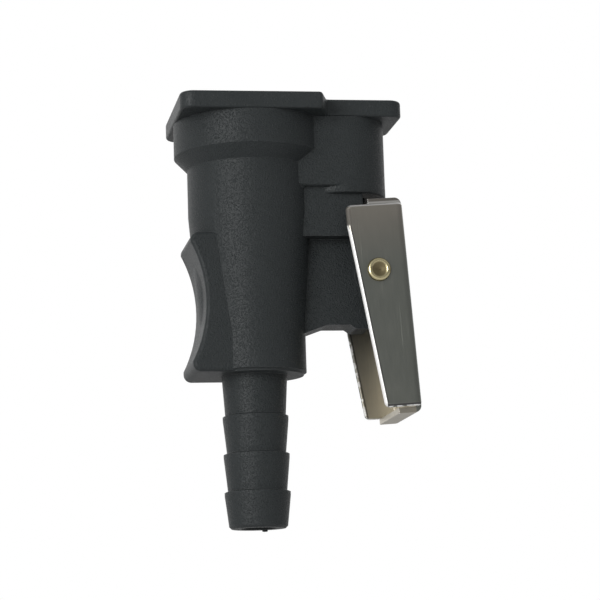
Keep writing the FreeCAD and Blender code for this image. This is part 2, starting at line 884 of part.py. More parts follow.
os.makedirs("parts", exist_ok=True)
for piece in pieces:
    piece.Shape.exportStep(os.path.join("parts", f"{piece.Label}.step"))
    box = piece.Shape.BoundBox
    print(f"{piece.Label}: {len(piece.Shape.Solids)} solid, {piece.Shape.Volume:.1f} mm3, "
          f"x {box.XMin:.2f}..{box.XMax:.2f}, y {box.YMin:.2f}..{box.YMax:.2f}, "
          f"z {box.ZMin:.2f}..{box.ZMax:.2f}")
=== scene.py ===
# %% [markdown]
# # A moulded fuel connector with a folded latch lever
# The construction is finished before this file starts: every solid arrives at its
# real size, and nothing here moves or resizes one. What is left is what a maker would
# call the finish: the grain of the black nylon, the bright cut edges of the folded sheet,
# which are partly a painted highlight, the light and shade painted on the sheet, and the
# dull dish of the rivet. A few pieces are added, which are merged copies of the springs,
# the stub where the plastic was fed in and a ring under the boss. The floor and the light
# that show them come last.

# %% Load the imported model
import json
import math

import bmesh
import bpy
from mathutils import Matrix, Vector


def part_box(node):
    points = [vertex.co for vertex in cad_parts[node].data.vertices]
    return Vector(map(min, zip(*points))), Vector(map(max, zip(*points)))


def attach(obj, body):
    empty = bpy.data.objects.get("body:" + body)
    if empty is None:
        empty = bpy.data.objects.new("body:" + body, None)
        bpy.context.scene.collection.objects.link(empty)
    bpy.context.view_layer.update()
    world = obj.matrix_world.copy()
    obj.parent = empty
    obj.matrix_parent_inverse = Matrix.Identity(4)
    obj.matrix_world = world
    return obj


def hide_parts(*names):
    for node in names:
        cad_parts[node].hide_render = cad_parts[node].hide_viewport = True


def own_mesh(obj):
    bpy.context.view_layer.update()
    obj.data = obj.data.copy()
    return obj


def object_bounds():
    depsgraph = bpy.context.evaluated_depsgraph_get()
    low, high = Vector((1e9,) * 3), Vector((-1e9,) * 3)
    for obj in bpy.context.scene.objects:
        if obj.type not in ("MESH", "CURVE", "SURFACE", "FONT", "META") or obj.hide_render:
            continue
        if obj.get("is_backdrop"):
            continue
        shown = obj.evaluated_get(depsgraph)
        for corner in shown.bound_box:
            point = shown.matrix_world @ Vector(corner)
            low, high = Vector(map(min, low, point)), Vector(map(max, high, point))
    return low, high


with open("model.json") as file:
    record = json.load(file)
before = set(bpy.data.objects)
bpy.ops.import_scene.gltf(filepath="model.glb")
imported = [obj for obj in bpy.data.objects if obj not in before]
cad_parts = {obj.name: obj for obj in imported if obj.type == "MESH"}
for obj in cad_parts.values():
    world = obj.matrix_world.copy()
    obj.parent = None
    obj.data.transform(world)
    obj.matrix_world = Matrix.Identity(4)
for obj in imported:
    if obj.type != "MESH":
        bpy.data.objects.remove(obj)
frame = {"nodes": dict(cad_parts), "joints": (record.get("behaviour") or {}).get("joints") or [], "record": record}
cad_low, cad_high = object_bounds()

MM = 0.001
print("solids:", sorted(frame["nodes"]))
print("box in mm:", [round(size / MM, 1) for size in cad_high - cad_low])

# %% [markdown]
# ## The camera
# The photograph was taken from a little below and a little to the left, with a long
# lens. A camera could be turned by hand, or made to track an empty. Here its direction
# and its distance from one point are written as numbers, because a view that has to
# match a photograph is fitted number by number. The tilt of the picture about its own
# centre is kept as a roll.

# %% Aim the camera
IMAGE_PIXELS = 600
SENSOR_MM = 36.0
FOCAL_PIXELS = 2297.1
SWING = math.radians(9.73)
RISE = math.radians(9.54)
ROLL = math.radians(-1.86)
DISTANCE = 412.8 * MM
NEAREST = DISTANCE / 20
FARTHEST = DISTANCE * 50
AIM = Vector((8.69, 0.0, -35.16)) * MM


def camera_axes(swing, rise, roll):
    """Right, up and forward of a camera that looks up by rise and to its right by swing."""
    forward = Vector((
        math.sin(swing) * math.cos(rise),
        math.cos(swing) * math.cos(rise),
        math.sin(rise),
    ))
    level = Vector((math.cos(swing), -math.sin(swing), 0.0))
    upright = level.cross(forward)
    right = level * math.cos(roll) + upright * math.sin(roll)
    up = upright * math.cos(roll) - level * math.sin(roll)
    return right, up, forward


right, up, forward = camera_axes(SWING, RISE, ROLL)
bpy.ops.object.camera_add(location=AIM - forward * DISTANCE)
camera = bpy.context.object
camera.name = "camera"
turn = Matrix((right, up, -forward)).transposed().to_4x4()
camera.matrix_world = Matrix.Translation(camera.location) @ turn
camera.data.sensor_width = SENSOR_MM
camera.data.lens = FOCAL_PIXELS * SENSOR_MM / IMAGE_PIXELS
camera.data.clip_start = NEAREST
camera.data.clip_end = FARTHEST
bpy.context.scene.camera = camera
print("lens in mm:", round(camera.data.lens, 1))

# %% [markdown]
# ## Writing shader maths as sums
# A node tree is a sum written with boxes. It could be drawn box by box, but then one
# pattern takes a page. The class below wraps one socket, so that `grain * 0.5 + 0.2`
# adds its two Math nodes by itself. A `Pen` draws every other kind of node in one tree.


# %% A socket that can be added and multiplied
class Socket:
    """One output of a node tree, with the arithmetic of numbers."""

    def __init__(self, pen, link):
        self.pen = pen
        self.link = link

    def __add__(self, other):
        return self.pen.maths("ADD", self, other)

    __radd__ = __add__

    def __sub__(self, other):
        return self.pen.maths("SUBTRACT", self, other)

    def __rsub__(self, other):
        return self.pen.maths("SUBTRACT", other, self)

    def __mul__(self, other):
        return self.pen.maths("MULTIPLY", self, other)

    __rmul__ = __mul__

    def __abs__(self):
        return self.pen.maths("ABSOLUTE", self)


class Node:
    """A node that has been drawn: its outputs are sockets with arithmetic."""

    def __init__(self, pen, made):
        self.pen = pen
        self.made = made

    def out(self, name):
        return Socket(self.pen, self.made.outputs[name])


# %% A pen that draws the nodes
class Pen:
    """Draws the nodes of one tree."""

    def __init__(self, tree):
        self.tree = tree

    def node(self, kind, settings=None, values=None):
        """Adds a node of a kind: its settings first, then its sockets' values or links."""
        made = self.tree.nodes.new(kind)
        for name, value in (settings or {}).items():
            setattr(made, name, value)
        for name, value in (values or {}).items():
            self.feed(made.inputs[name], value)
        return Node(self, made)

    def feed(self, socket, value):
        """Links a socket, or sets it where the value is a plain number or colour."""
        if isinstance(value, Socket):
            self.tree.links.new(value.link, socket)
        else:
            socket.default_value = value

    def maths(self, operation, first, second=0.0):
        """One Math node."""
        return self.node("ShaderNodeMath", {"operation": operation}, {0: first, 1: second}).out("Value")

    def split(self, vector):
        """A node whose outputs X, Y and Z are a vector's three numbers."""
        return self.node("ShaderNodeSeparateXYZ", None, {"Vector": vector})

    def rise(self, value, low, high):
        """0 below low, 1 above high, and a smooth climb between them."""
        return self.node("ShaderNodeMapRange", {"interpolation_type": "SMOOTHSTEP"}, {
            "Value": value, "From Min": low, "From Max": high}).out("Result")


# %% [markdown]
# ## The parts of a finish
# A `Finish` is a pen that holds one material. Noise is read in the object's own
# coordinates, in metres, so a scale of 2600 makes grains of about 0.4 mm, and nothing
# has to be unwrapped. Heights are written in millimetres, because a spark-eroded grain
# is known by its depth. A moulded edge is never as sharp as a drawn one. The Bevel node
# rounds it for the light alone, which costs no faces. Where that rounding turns the
# surface most is an edge, and the same difference says where hands and tools rub, and
# where a highlight is painted along the edge.

# %% A material and its usual nodes
BEVEL_SAMPLES = 6
MIX_AMOUNT, MIX_FIRST, MIX_SECOND, MIX_RESULT = 0, 6, 7, 2


class Finish(Pen):
    """One material, with the patterns that several finishes share."""

    def __init__(self, name):
        self.material = bpy.data.materials.new(name)
        self.material.use_nodes = True
        super().__init__(self.material.node_tree)
        self.surface = self.tree.nodes["Principled BSDF"]

    def set(self, **values):
        """Sets or links sockets of the surface shader, written with underscores."""
        for name, value in values.items():
            self.feed(self.surface.inputs[name.replace("_", " ")], value)

    def place(self):
        """A point's place in the shared frame, because no solid's object is moved."""
        return self.node("ShaderNodeTexCoord").out("Object")

    def noise(self, per_metre, detail=3.0, roughness=0.5, place=None):
        """A cloudy pattern between 0 and 1."""
        return self.node("ShaderNodeTexNoise", None, {
            "Vector": place or self.place(), "Scale": per_metre,
            "Detail": detail, "Roughness": roughness}).out("Fac")

    def stretched(self, factors, place):
        """Coordinates drawn out along an axis, which turns a noise into a grain."""
        return self.node("ShaderNodeMapping", None, {"Vector": place, "Scale": factors}).out("Vector")

    def blend(self, amount, first, second):
        """A colour between two colours."""
        mix = self.node("ShaderNodeMix", {"data_type": "RGBA"}, {
            MIX_AMOUNT: amount, MIX_FIRST: first, MIX_SECOND: second})
        return mix.out(MIX_RESULT)

    def rounded(self, radius):
        """The surface's direction with every sharp edge rounded."""
        return self.node("ShaderNodeBevel", {"samples": BEVEL_SAMPLES}, {"Radius": radius}).out("Normal")

    def edges(self, radius, low, high):
        """1 along the sharp edges and 0 on the faces between them."""
        plain = self.node("ShaderNodeNewGeometry").out("Normal")
        likeness = self.node("ShaderNodeVectorMath", {"operation": "DOT_PRODUCT"}, {
            0: self.rounded(radius), 1: plain}).out("Value")
        return self.rise(1.0 - likeness, low, high)

    def relief(self, height_mm, direction=None):
        """The surface's direction bent by a height in millimetres."""
        values = {"Height": height_mm, "Distance": MM, "Strength": 1.0}
        if direction is not None:
            values["Normal"] = direction
        return self.node("ShaderNodeBump", None, values).out("Normal")


# %% [markdown]
# ## Black nylon
# The body and its face plate were moulded in a spark-eroded tool, which leaves a fine
# even grain and a soft sheen. The grain could come from a picture, but a noise has no
# seams and keeps its size on every solid. A first noise gives the grain, a finer one its
# sharp points, which sparkle where the lamp's light lies, and a very wide one shifts the
# roughness, because nylon is never evenly matt. The two halves of the tool met in the
# middle plane of the body, so a hair-thin line runs round it there. Edges that are
# handled turn a little paler, and a highlight is painted along them as well.

# %% Mix the nylon
NYLON_DARK = (0.0185, 0.0225, 0.0232, 1.0)
NYLON_LIGHT = (0.0300, 0.0342, 0.0355, 1.0)
# A paler grey where edges are worn, which also serves as a painted highlight.
NYLON_WEAR_AND_HIGHLIGHT = (0.120, 0.124, 0.126, 1.0)
NYLON_SHEEN = 0.30
NYLON_CLOUDS_PER_METRE = 90.0
GRAIN_PER_METRE = 2600.0
GRAIN_HARSHNESS = 0.6
GRAIN_SHARE = 0.6
POINTS_PER_METRE = 4600.0
POINTS_FROM, POINTS_FULL = 0.50, 0.72
POINTS_RELIEF = 0.8
NYLON_EDGE = 0.16 * MM
WEAR_AND_HIGHLIGHT_EDGE = NYLON_EDGE * 1.5
WEAR_AND_HIGHLIGHT_FROM, WEAR_AND_HIGHLIGHT_FULL = 0.03, 0.25
WEAR_AND_HIGHLIGHT_EVERYWHERE = 0.1
CLOUD_MATT, GRAIN_MATT, POINTS_GLOSS = 0.10, 0.14, 0.14
NYLON_MATT_MEAN = 0.10
PARTING_HALF_WIDTH = 0.05 * MM
PARTING_HEIGHT_MM = 0.02


def nylon(name, roughness, grain_mm, has_parting_line):
    """Black nylon with a mean roughness and a depth of grain."""
    finish = Finish(name)
    cloud = finish.noise(NYLON_CLOUDS_PER_METRE, detail=2.0)
    grain = finish.noise(GRAIN_PER_METRE, detail=2.0, roughness=GRAIN_HARSHNESS)
    points = finish.rise(finish.noise(POINTS_PER_METRE, detail=1.0), POINTS_FROM, POINTS_FULL)
    height = (grain + points * POINTS_RELIEF) * grain_mm
    if has_parting_line:
        aside = abs(finish.split(finish.place()).out("Y"))
        line = 1.0 - finish.rise(aside, PARTING_HALF_WIDTH, PARTING_HALF_WIDTH * 2)
        height = height + line * PARTING_HEIGHT_MM
    # Paler along the edges: partly wear, partly a painted highlight.
    edge = finish.edges(WEAR_AND_HIGHLIGHT_EDGE, WEAR_AND_HIGHLIGHT_FROM, WEAR_AND_HIGHLIGHT_FULL)
    wear_and_highlight = edge * (cloud * (1.0 - WEAR_AND_HIGHLIGHT_EVERYWHERE) + WEAR_AND_HIGHLIGHT_EVERYWHERE)
    shade = finish.blend(grain * GRAIN_SHARE + cloud * (1.0 - GRAIN_SHARE), NYLON_DARK, NYLON_LIGHT)
    matt = cloud * CLOUD_MATT + grain * GRAIN_MATT - points * POINTS_GLOSS
    finish.set(
        Base_Color=finish.blend(wear_and_highlight, shade, NYLON_WEAR_AND_HIGHLIGHT),
        Roughness=matt + (roughness - NYLON_MATT_MEAN),
        Specular_IOR_Level=NYLON_SHEEN,
        Normal=finish.relief(height, finish.rounded(NYLON_EDGE)),
    )
    print(name, "nodes:", len(finish.tree.nodes))
    return finish.material


body_nylon = nylon("body_nylon", roughness=0.46, grain_mm=0.105, has_parting_line=True)
plate_nylon = nylon("plate_nylon", roughness=0.43, grain_mm=0.060, has_parting_line=False)

# %% [markdown]
# ## The lever's own coordinates
# The lever is one sheet, sheared out flat and then folded. Its marks run along its
# edges and folds, and could be painted on a UV map. As all of them are straight, a
# distance from a line gives them as well, and stays sharp at any size of picture. The
# lever leans on its rivet, so a Mapping node of the texture kind turns the coordinates
# back: X then runs out of the body, Y along the rivet and Z up the lever, with zero on
# the rivet's axis.

# %% Stand the coordinates upright in the lever
LEVER_LEAN = math.radians(-3.47)
EDGE_TOP = Vector((-4.8, 8.1)) * MM
EDGE_FOOT = Vector((-1.1, -24.5)) * MM
CUT_WIDTH = 0.38 * MM
MARK_FADE = CUT_WIDTH * 0.1
FLANGE_INSIDE = 9.0 * MM
FLANGE_TOP = 11.8 * MM
latch_hinge = next(joint for joint in frame["joints"] if joint["name"] == "latch_hinge")


class LeverSheet(Finish):
    """The lever's finish, with the distances that place the marks on its sheet."""

    def __init__(self, name):
        super().__init__(name)
        self.own = self.node("ShaderNodeMapping", {"vector_type": "TEXTURE"}, {
            "Vector": self.place(), "Location": latch_hinge["pos_m"],
            "Rotation": (0.0, LEVER_LEAN, 0.0)}).out("Vector")
        parts = self.split(self.own)
        self.outward = parts.out("X")
        self.across = parts.out("Y")
        self.height = parts.out("Z")
        along = (EDGE_FOOT - EDGE_TOP).normalized()
        self.from_cut = (self.outward - EDGE_TOP.x) * -along.y + (self.height - EDGE_TOP.y) * along.x
        self.in_flange = self.past(abs(self.across), FLANGE_INSIDE + MARK_FADE)
        self.below_kink = 1.0 - self.past(self.height, EDGE_TOP.y, CUT_WIDTH)
        self.on_hook = self.past(self.height, FLANGE_TOP + MARK_FADE)

    def past(self, value, level, fade=MARK_FADE):
        """0 up to a level, and 1 from a fade beyond it."""
        return self.rise(value, level, level + fade)


print("lever leans by degrees:", round(math.degrees(LEVER_LEAN), 2))

# %% [markdown]
# ## The lever's sheared edges
# The long slanting edge of each flange kept the bright band that the blade leaves, and
# the band is painted nearly white, so it is a painted highlight as well. The band narrows
# towards the kink and ends there. A noise breaks it up on the far flange, and along the
# foot it is painted as glints in spots. Just inside the cut a painted shadow line runs
# beside the band, and another runs above the foot. An edge could be found by its
# sharpness, as on the nylon, but then the folds would shine too, so these marks go by
# distance.

# %% Mark the sheared edges
CUT_TAPER = 1.5 * MM
TAPER_WIDTH = CUT_WIDTH * 0.7
BREAKS_PER_METRE = 900.0
BREAKS_FROM, BREAKS_FULL = 0.44, 0.54
FAR_BRIGHTNESS = 0.7
CUT_SHADOW_FROM, CUT_SHADOW_TO = CUT_WIDTH * 1.3, CUT_WIDTH * 2.0
FOOT_CUT = EDGE_FOOT.y + MARK_FADE * 4
FOOT_SHADE = EDGE_FOOT.y + MARK_FADE * 12
FOOT_FADE = MARK_FADE * 2


def sheared_edges(sheet):
    """The bright cut with its painted highlight and glints, and the painted shadow lines beside it and above the
    foot.
    """
    breaks = sheet.rise(sheet.noise(BREAKS_PER_METRE, detail=1.0), BREAKS_FROM, BREAKS_FULL)
    far = sheet.rise(sheet.across, 0.0, FLANGE_INSIDE)
    evenness = 1.0 - far * (1.0 - breaks * FAR_BRIGHTNESS)
    taper = sheet.past(sheet.height, EDGE_TOP.y - CUT_TAPER, CUT_TAPER) * TAPER_WIDTH
    at_edge = 1.0 - sheet.past(sheet.from_cut + taper, CUT_WIDTH - MARK_FADE, MARK_FADE * 2)
    above_foot = sheet.past(sheet.height, FOOT_CUT, FOOT_FADE)
    painted_foot_glints = (1.0 - above_foot) * sheet.in_flange * breaks
    # The cut band and the foot's glints, partly a painted highlight.
    cut_and_highlight = sheet.maths("MAXIMUM", at_edge * sheet.below_kink * evenness, painted_foot_glints)
    # A painted shadow line just inside the cut.
    cut_shadow_end = sheet.rise(sheet.from_cut, CUT_SHADOW_FROM, CUT_SHADOW_TO)
    cut_shadow_line = sheet.past(sheet.from_cut, CUT_WIDTH) * sheet.below_kink * (1.0 - cut_shadow_end)
    # A painted shadow line above the foot.
    foot_shadow_line = above_foot * (1.0 - sheet.past(sheet.height, FOOT_SHADE, FOOT_FADE)) * sheet.in_flange
    return cut_and_highlight, cut_shadow_line, foot_shadow_line


print("cut band in mm:", round(CUT_WIDTH / MM, 2))

# %% [markdown]
# ## The lever's upright edge and its hook
# Above the kink the flange's edge stands upright, and the press left it round. It is
# made rougher there, and a painted shade darkens it, which keeps the lamp's highlight
# off it. The flange's top edge is painted as a bright highlight line. The hook is folded
# over behind it: a band of painted light lies along its fold, and the rest of it is
# painted in the boss's shade. More lamps could draw these lines, but they would light
# the plastic as well. A mark touches only the sheet, and it moves with the lever.

# %% Mark the upright edge and the hook
EDGE_ROLL = 0.75 * MM
HOOK_BAND = 0.45 * MM
TOP_LINE = FLANGE_TOP - HOOK_BAND * 0.5
HOOK_SHADE = FLANGE_TOP + HOOK_BAND * 1.6


def upright_edge(sheet):
    """1 on the upright edge between the kink and the flange's top, which is made rougher and painted darker."""
    at_edge = 1.0 - sheet.past(sheet.outward, EDGE_TOP.x + EDGE_ROLL - MARK_FADE)
    below_top = 1.0 - sheet.past(sheet.height, FLANGE_TOP - EDGE_ROLL, EDGE_ROLL)
    return at_edge * (1.0 - sheet.below_kink) * below_top


def hook_marks(sheet):
    """The flange's painted highlight line on top, the painted band of light on the hook, and its painted shade."""
    top_line = sheet.past(sheet.height, TOP_LINE, HOOK_BAND * 0.1) * (1.0 - sheet.on_hook)
    # Painted shade over the rest of the hook.
    shade = sheet.past(sheet.height, HOOK_SHADE, HOOK_BAND * 0.2)
    lit_band = sheet.on_hook * (1.0 - shade)
    return top_line, lit_band, shade


print("hook's band of light in mm:", round((HOOK_SHADE - FLANGE_TOP) / MM, 2))

# %% [markdown]
# ## The sheet's two faces, with painted light and shade
# Light and shade are painted on both faces. Outside, the sheet is painted a little
# lighter and warmer towards the top. Inside, it faces the black body, so it is painted
# dark at the top as a reflection of it, and painted lighter with a warm cast towards the
# foot. Two materials on one solid would need its faces sorted. A mask by place keeps it
# to one: what lies between the flanges and short of the web is the inner face.

# %% Mix the two faces of the sheet
# Painted light and shade: outside lighter at the top, inside dark at the top and lighter at the foot.
STEEL_LIT_TOP = (0.400, 0.375, 0.330, 1.0)
STEEL_SHADED_LOW = (0.270, 0.282, 0.255, 1.0)
INSIDE_SHADED_TOP = (0.170, 0.175, 0.165, 1.0)
INSIDE_LIT_LOW = (0.515, 0.480, 0.400, 1.0)
WEB_INSIDE = 4.5 * MM
PIN_LEVEL = 0.0


def painted_sheet_faces(sheet, worn):
    """The sheet's colour with painted light and shade on each face, made uneven by a worn pattern."""
    outer_height = sheet.rise(sheet.height, PIN_LEVEL, FLANGE_TOP)
    outer = sheet.blend(outer_height + worn, STEEL_SHADED_LOW, STEEL_LIT_TOP)
    inner_height = sheet.rise(sheet.height, EDGE_FOOT.y, EDGE_TOP.y)
    inner = sheet.blend(inner_height + worn, INSIDE_LIT_LOW, INSIDE_SHADED_TOP)
    short_of_web = 1.0 - sheet.past(sheet.outward, WEB_INSIDE + MARK_FADE)
    within = (1.0 - sheet.in_flange) * (1.0 - sheet.on_hook) * short_of_web
    return sheet.blend(within, outer, inner)


print("inner face to mm:", FLANGE_INSIDE / MM, "aside and", WEB_INSIDE / MM, "out")

# %% [markdown]
# ## Stainless sheet
# Cold rolled sheet carries a faint grain along the strip that it was cut from, so its
# noise is drawn out along the lever, and a longer one gives a few scratches. The marks
# then go on in turn: painted shades first, then painted highlights, and the bright cut
# last, which is partly a painted highlight. The blade left the cut rough, so it scatters
# light where the rolled face mirrors it, and is made less metallic. A map painted by hand
# could hold all this, but it would have to be painted again for every change, and here a
# mark is moved or toned by one number.

# %% Mix the lever's sheet
STEEL_SHADOW = (0.075, 0.070, 0.075, 1.0)
# Nearly white: the sheared edge's own brightness together with a painted highlight.
STEEL_CUT_AND_HIGHLIGHT = (0.96, 0.955, 0.94, 1.0)
STRIP_PER_METRE = 3800.0
STRIP_GRAIN = (1.0, 1.0, 0.06)
STRIP_RELIEF_MM = 0.007
SCRATCHES_PER_METRE = 1900.0
SCRATCH_GRAIN = (1.0, 1.0, 0.03)
SCRATCH_FROM, SCRATCH_FULL = 0.66, 0.72
SCRATCH_DEPTH_MM = 0.005
STEEL_CLOUDS_PER_METRE = 120.0
STRIP_WORN, CLOUD_WORN, WORN_MEAN = 0.30, 0.50, 0.40
STEEL_EDGE = 0.12 * MM
# Edges that are paler from handling, with a painted highlight along them too.
HANDLED_HIGHLIGHT_EDGE = 0.2 * MM
HANDLED_HIGHLIGHT_FROM, HANDLED_HIGHLIGHT_FULL = 0.03, 0.2
# How far each painted shade goes towards the shadow, and each painted highlight towards the cut.
UPRIGHT_SHADE_SHARE, CUT_SHADOW_SHARE, HOOK_SHADE_SHARE, FOOT_SHADOW_SHARE = 0.42, 0.80, 0.40, 0.85
HANDLED_HIGHLIGHT_SHARE, TOP_LIGHT, BAND_LIGHT = 0.30, 0.90, 0.55
CUT_SCATTER = 0.85
STEEL_MATT, PATTERN_MATT, DULL_MATT = 0.25, 0.12, 0.45


def rolled_sheet(name):
    """The finish of the whole lever."""
    sheet = LeverSheet(name)
    strip = sheet.noise(STRIP_PER_METRE, detail=3.0, place=sheet.stretched(STRIP_GRAIN, sheet.own))
    scratches = sheet.noise(SCRATCHES_PER_METRE, place=sheet.stretched(SCRATCH_GRAIN, sheet.own))
    scratch = sheet.rise(scratches, SCRATCH_FROM, SCRATCH_FULL)
    cloud = sheet.noise(STEEL_CLOUDS_PER_METRE, detail=3.0)
    cut_and_highlight, cut_shadow_line, foot_shadow_line = sheared_edges(sheet)
    # The upright edge is made rougher and painted darker.
    dull_and_painted_shade = upright_edge(sheet)
    top_line, lit_band, hook_shade = hook_marks(sheet)
    # Edges paler from handling, plus a painted highlight along them.
    handled_and_highlight = sheet.edges(HANDLED_HIGHLIGHT_EDGE, HANDLED_HIGHLIGHT_FROM, HANDLED_HIGHLIGHT_FULL) * (1.0 - dull_and_painted_shade)
    plain = painted_sheet_faces(sheet, strip * STRIP_WORN + cloud * CLOUD_WORN - WORN_MEAN)
    shades = dull_and_painted_shade * UPRIGHT_SHADE_SHARE + cut_shadow_line * CUT_SHADOW_SHARE + hook_shade * HOOK_SHADE_SHARE
    shaded = sheet.blend(shades + foot_shadow_line * FOOT_SHADOW_SHARE, plain, STEEL_SHADOW)
    lights = handled_and_highlight * HANDLED_HIGHLIGHT_SHARE + top_line * TOP_LIGHT + lit_band * BAND_LIGHT
    matt = strip * PATTERN_MATT + cloud * PATTERN_MATT + scratch * PATTERN_MATT
    sheet.set(
        Base_Color=sheet.blend(cut_and_highlight + lights * (1.0 - cut_and_highlight), shaded, STEEL_CUT_AND_HIGHLIGHT),
        Metallic=1.0 - cut_and_highlight * CUT_SCATTER,
        Roughness=matt + dull_and_painted_shade * DULL_MATT + STEEL_MATT,
        Normal=sheet.relief(strip * STRIP_RELIEF_MM - scratch * SCRATCH_DEPTH_MM, sheet.rounded(STEEL_EDGE)),
    )
    print(name, "nodes:", len(sheet.tree.nodes))
    return sheet.material


lever_steel = rolled_sheet("lever_steel")

# %% [markdown]
# ## The rivet's brass
# The rivet is a soft metal. The setting tool rolled and polished its rim, and left the
# dish within it and the skirt outside it dull. The rings could be faces of their own.
# The distance from the rivet's axis gives them too, and lets each run softly into the
# next, as polish does.

# %% Mix the rivet's brass
BRASS_DULL = (0.190, 0.155, 0.085, 1.0)
BRASS_BRIGHT = (0.800, 0.710, 0.430, 1.0)
DISH_RADIUS = 1.15 * MM
RIM_RADIUS = 1.55 * MM
SKIRT_RADIUS = 1.85 * MM
HEAD_RADIUS = 2.1 * MM
DISH_DEPTH_MM = 0.08
BRASS_CLOUDS_PER_METRE = 1500.0
BRASS_RELIEF_MM = 0.010
RIM_SHARE = 0.85
BRASS_MATT, RIM_POLISH, CLOUD_TARNISH = 0.40, 0.20, 0.08


def set_brass(name):
    """Brass that a setting tool has rolled over."""
    finish = Finish(name)
    parts = finish.split(finish.place())
    across = parts.out("X") - latch_hinge["pos_m"][0]
    upward = parts.out("Z") - latch_hinge["pos_m"][2]
    from_axis = finish.maths("SQRT", across * across + upward * upward)
    rim = finish.rise(from_axis, DISH_RADIUS, RIM_RADIUS)
    skirt = finish.rise(from_axis, SKIRT_RADIUS, HEAD_RADIUS)
    cloud = finish.noise(BRASS_CLOUDS_PER_METRE, detail=3.0)
    polished = rim * (1.0 - skirt) * RIM_SHARE + cloud * (1.0 - RIM_SHARE)
    finish.set(
        Base_Color=finish.blend(polished, BRASS_DULL, BRASS_BRIGHT),
        Metallic=1.0,
        Roughness=BRASS_MATT - rim * RIM_POLISH + cloud * CLOUD_TARNISH,
        Normal=finish.relief(cloud * BRASS_RELIEF_MM + rim * DISH_DEPTH_MM),
    )
    print(name, "nodes:", len(finish.tree.nodes))
    return finish.material


pin_brass = set_brass("pin_brass")

# %% [markdown]
# ## Spring wire
# Wire is drawn through a die, which leaves it smooth and evenly bright. One plain grey
# would look like chrome, so a noise wanders between two greys and shifts the gloss.

# %% Mix the wire
WIRE_DARK = (0.42, 0.42, 0.42, 1.0)
WIRE_LIGHT = (0.58, 0.58, 0.58, 1.0)
WIRE_CLOUDS_PER_METRE = 900.0
WIRE_MATT, WIRE_MATT_MEAN = 0.15, 0.07
WIRE_RELIEF_MM = 0.006


def drawn_wire(name, roughness):
    """Bright wire with a mean roughness."""
    finish = Finish(name)
    cloud = finish.noise(WIRE_CLOUDS_PER_METRE, detail=2.0)
    finish.set(
        Base_Color=finish.blend(cloud, WIRE_DARK, WIRE_LIGHT),
        Metallic=1.0,
        Roughness=cloud * WIRE_MATT + (roughness - WIRE_MATT_MEAN),
        Normal=finish.relief(cloud * WIRE_RELIEF_MM),
    )
    print(name, "nodes:", len(finish.tree.nodes))
    return finish.material


spring_steel = drawn_wire("spring_steel", roughness=0.28)

# %% [markdown]
# ## Acetal and rubber
# The plunger, its seat and the seal's retainer are pale acetal, and the seals are black
# rubber. They show only at the sockets' mouths. One recipe serves both, because each is
# a smooth moulding with a faint grain, and only the colours and the gloss differ.

# %% Mix the acetal and the rubber
ACETAL_DARK = (0.66, 0.65, 0.60, 1.0)
ACETAL_LIGHT = (0.76, 0.75, 0.70, 1.0)
RUBBER_DARK = (0.010, 0.010, 0.011, 1.0)
RUBBER_LIGHT = (0.018, 0.018, 0.019, 1.0)
PLASTIC_CLOUDS_PER_METRE = 400.0
PLASTIC_MATT = 0.12


def smooth_moulding(name, dark, light, roughness, grain_mm):
    """A plain moulding between two shades of its colour."""
    finish = Finish(name)
    cloud = finish.noise(PLASTIC_CLOUDS_PER_METRE, detail=2.0)
    grain = finish.noise(GRAIN_PER_METRE, detail=1.0)
    finish.set(
        Base_Color=finish.blend(cloud, dark, light),
        Roughness=grain * PLASTIC_MATT + (roughness - PLASTIC_MATT / 2),
        Normal=finish.relief(grain * grain_mm, finish.rounded(NYLON_EDGE)),
    )
    print(name, "nodes:", len(finish.tree.nodes))
    return finish.material


valve_acetal = smooth_moulding(
    "valve_acetal", ACETAL_DARK, ACETAL_LIGHT, roughness=0.38, grain_mm=0.008)
seal_rubber = smooth_moulding(
    "seal_rubber", RUBBER_DARK, RUBBER_LIGHT, roughness=0.55, grain_mm=0.010)

# %% [markdown]
# ## Each solid gets its finish
# A solid's finish could be set by hand in its material slot. A table has every solid and
# its finish side by side, so that a wrong or a missing one stands out.

# %% Give each solid its finish
FINISHES = {
    "connector_body": body_nylon,
    "face_plate": plate_nylon,
    "latch_lever": lever_steel,
    "lever_pin": pin_brass,
    "lever_spring": spring_steel,
    "valve_spring": spring_steel,
    "valve_plunger": valve_acetal,
    "valve_seat": valve_acetal,
    "seal_retainer": valve_acetal,
    "valve_seal": seal_rubber,
    "port_seal": seal_rubber,
}
for name, material in FINISHES.items():
    solid = frame["nodes"][name]
    solid.data.materials.clear()
    solid.data.materials.append(material)
print("finished solids:", len(FINISHES))

# %% [markdown]
# ## The two springs
# On the real part the springs are coils of wire that shorten when the lever or the valve
# is pressed. A rigid solid can't do that, so each spring is shown by a copy: the solid's
# loose triangles are merged into one skin, and the copy takes the solid's place. How much
# of its length would be left at the joint's limit is worked out from the lever's own
# geometry, or from the valve's travel, and printed.

# %% Make a merged copy of a spring
MERGE_DISTANCE = 0.001 * MM
COIL_SMOOTH_ANGLE = math.radians(50)


def shortening_coil(node, keep):
    """Shows a spring by a merged copy, and prints the share of its length it would keep at the joint's limit."""
    bpy.ops.object.select_all(action="DESELECT")
    coil = bpy.data.objects.new(node + "_coil", frame["nodes"][node].data.copy())
    bpy.context.collection.objects.link(coil)
    bpy.context.view_layer.objects.active = coil
    coil.select_set(True)
    bpy.ops.object.mode_set(mode="EDIT")
    bpy.ops.mesh.select_all(action="SELECT")
    bpy.ops.mesh.remove_doubles(threshold=MERGE_DISTANCE)
    bpy.ops.object.mode_set(mode="OBJECT")
    bpy.ops.object.shade_smooth_by_angle(angle=COIL_SMOOTH_ANGLE)
    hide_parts(node)
    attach(coil, "housing")
    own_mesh(coil)
    print(coil.name, "keeps", round(keep, 3), "of its length, triangles:", len(coil.data.polygons))


